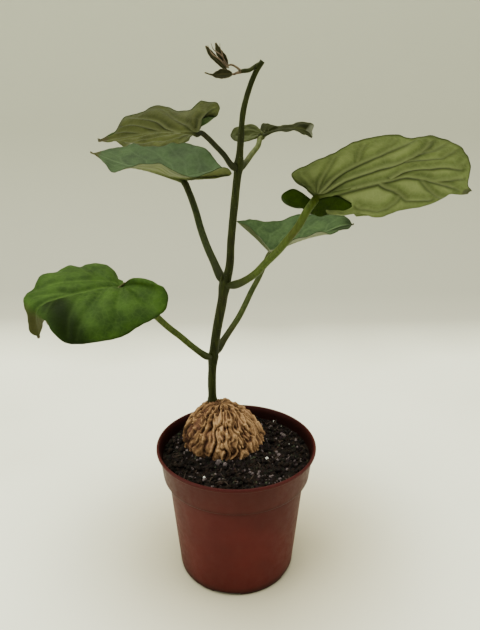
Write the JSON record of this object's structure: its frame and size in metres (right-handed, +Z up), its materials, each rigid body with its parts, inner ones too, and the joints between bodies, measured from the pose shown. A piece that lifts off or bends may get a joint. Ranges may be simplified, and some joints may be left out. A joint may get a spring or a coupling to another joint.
{
  "type": "potted matelea cyclophylla",
  "caption": "Potted caudex plant: a corky domed tuber in a thin flared nursery pot of soil, with one slender stem that carries pairs of broad heart-shaped leaves",
  "frame": {"origin": "centre of the pot's underside, on the resting plane", "axes": "+Z up from the pot's underside to the shoot tip, +X to the right seen from the front, +Y to the back"},
  "size_m": [0.1804, 0.1583, 0.2821],
  "materials": {
    "pot_plastic": "terracotta-red injection-moulded plastic with a soft satin sheen, dusty in the corners",
    "potting_soil": "stands in for potting soil: near-black, crumbly, matt, with a few pale mineral grains",
    "corky_bark": "tan corky bark, matt, with wandering ridges and dark fissures",
    "green_stem": "stands in for a young green stem: dark olive, slightly waxy, finely haired",
    "dark_leaf": "stands in for a living leaf: dark green, soft satin, lighter veins",
    "blue_green_leaf": "stands in for a living leaf: blue-green above, paler olive below",
    "pale_leaf": "stands in for a living leaf seen from below: pale olive green with raised darker veins",
    "young_leaf": "stands in for a just-opened leaf: brown-green and downy"
  },
  "bodies": {
    "root": {"pot": "pot_plastic", "soil": "potting_soil", "caudex": "corky_bark", "stem": "green_stem", "leaf_lower_left": "dark_leaf", "leaf_lower_right": "blue_green_leaf", "leaf_middle_left": "blue_green_leaf", "leaf_middle_right": "pale_leaf", "leaf_upper_left": "pale_leaf", "leaf_upper_right": "pale_leaf", "young_leaf_left": "young_leaf", "young_leaf_right": "young_leaf", "young_leaf_low": "young_leaf"}
  },
  "joints": []
}
